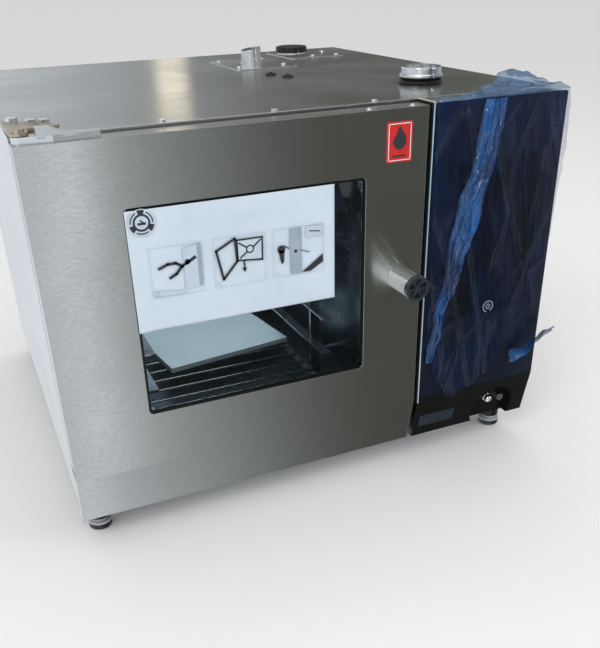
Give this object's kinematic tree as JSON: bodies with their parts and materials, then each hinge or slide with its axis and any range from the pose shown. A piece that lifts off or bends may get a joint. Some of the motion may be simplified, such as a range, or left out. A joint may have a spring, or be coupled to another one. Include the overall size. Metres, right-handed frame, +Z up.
{
  "type": "combi steamer oven",
  "caption": "Countertop combi steamer oven: side-hinged windowed door, touch control panel, fan-heated chamber with tray racks, roof flue and vents, adjustable feet.",
  "frame": {"origin": "on the floor, under the middle of the overall box", "axes": "+X to the right seen from the front, the door faces -Y, +Z up"},
  "size_m": [0.875, 0.977, 0.6922],
  "materials": {
    "sheet_steel": "fine brushed",
    "chamber_steel": "satin",
    "polished_steel": "polished",
    "mineral_wool": "fibrous",
    "black_rubber": "matt",
    "cast_aluminium": "cast",
    "heater_tube": "heat darkened",
    "white_paper": "matt",
    "clear_glass": "clear",
    "grey_plastic": "moulded",
    "brass": "machined",
    "circuit_board": "solder mask",
    "black_plastic": "fine texture",
    "black_glass": "polished",
    "display": "polished",
    "plate_blue": "printed",
    "red_badge": "enamelled",
    "blue_film": "thin film"
  },
  "bodies": {
    "cabinet": {"back_panel": "sheet_steel", "base_pan": "sheet_steel", "breather_bellows": "black_rubber", "breather_ring": "polished_steel", "cable_gland": "black_plastic", "chamber_gasket": "black_rubber", "chamber_lamp": "clear_glass", "chamber_liner": "chamber_steel", "chin_moulding": "black_plastic", "chin_sockets": "polished_steel", "control_boards": "circuit_board", "cooling_fan_frame": "black_plastic", "display_module": "display", "drain_siphon": "grey_plastic", "edge_strip": "polished_steel", "fan_guard": "chamber_steel", "fan_motor": "cast_aluminium", "flap_actuator": "grey_plastic", "flue_pipe": "sheet_steel", "foot_collars": "polished_steel", "front_frame": "sheet_steel", "grid_shelf": "polished_steel", "heating_element": "heater_tube", "hinge_brackets": "polished_steel", "insulation": "mineral_wool", "latch_striker": "sheet_steel", "leaflet_pack": "white_paper", "panel_frame": "sheet_steel", "panel_glass": "black_glass", "protective_film": "blue_film", "rack_uprights": "polished_steel", "rating_plate": "plate_blue", "roof_grommets": "black_rubber", "roof_panel": "sheet_steel", "roof_plates": "sheet_steel", "roof_screws": "polished_steel", "side_panel_left": "sheet_steel", "side_panel_right": "sheet_steel", "tray_ledges": "polished_steel", "vent_cap": "black_rubber", "water_valves": "brass"},
    "door": {"door_skin": "sheet_steel", "door_back_frame": "sheet_steel", "window_trim": "black_rubber", "door_outer_glass": "clear_glass", "door_inner_glass": "clear_glass", "glass_clips": "polished_steel", "door_badge": "red_badge", "instruction_sheet": "white_paper", "hinge_arms": "polished_steel"},
    "handle": {"handle_hub": "polished_steel", "handle_cap": "black_plastic", "latch_finger": "polished_steel"},
    "circulation_fan": {"fan_wheel": "chamber_steel"},
    "cooling_rotor": {"cooling_fan_rotor": "black_plastic"},
    "flue_damper": {"flue_flap": "sheet_steel"},
    "foot_front_left_body": {"foot_front_left": "black_rubber"},
    "foot_front_right_body": {"foot_front_right": "black_rubber"},
    "foot_rear_left_body": {"foot_rear_left": "black_rubber"},
    "foot_rear_right_body": {"foot_rear_right": "black_rubber"}
  },
  "joints": [
    {"name": "door_swing", "type": "hinge", "parent": "cabinet", "child": "door", "pos_m": [-0.425, -0.4045, 0.3], "axis": [0, 0, -1], "range_deg": [0, 125]},
    {"name": "handle_turn", "type": "hinge", "parent": "door", "child": "handle", "pos_m": [0.13, -0.4245, 0.389], "axis": [0, 1, 0], "range_deg": [0, 90]},
    {"name": "fan_spin", "type": "hinge", "parent": "cabinet", "child": "circulation_fan", "pos_m": [-0.13, 0.2205, 0.3775], "axis": [0, 1, 0], "continuous": true},
    {"name": "cooling_fan_spin", "type": "hinge", "parent": "cabinet", "child": "cooling_rotor", "pos_m": [0.3, 0.0155, 0.07], "axis": [0, 0, 1], "continuous": true},
    {"name": "flue_flap_turn", "type": "hinge", "parent": "cabinet", "child": "flue_damper", "pos_m": [0.137, 0.2475, 0.625], "axis": [1, 0, 0], "range_deg": [0, 90]},
    {"name": "foot_front_left_adjust", "type": "slide", "parent": "cabinet", "child": "foot_front_left_body", "axis": [0, 0, -1], "range_m": [0, 0.015]},
    {"name": "foot_front_right_adjust", "type": "slide", "parent": "cabinet", "child": "foot_front_right_body", "axis": [0, 0, -1], "range_m": [0, 0.015]},
    {"name": "foot_rear_left_adjust", "type": "slide", "parent": "cabinet", "child": "foot_rear_left_body", "axis": [0, 0, -1], "range_m": [0, 0.015]},
    {"name": "foot_rear_right_adjust", "type": "slide", "parent": "cabinet", "child": "foot_rear_right_body", "axis": [0, 0, -1], "range_m": [0, 0.015]}
  ]
}
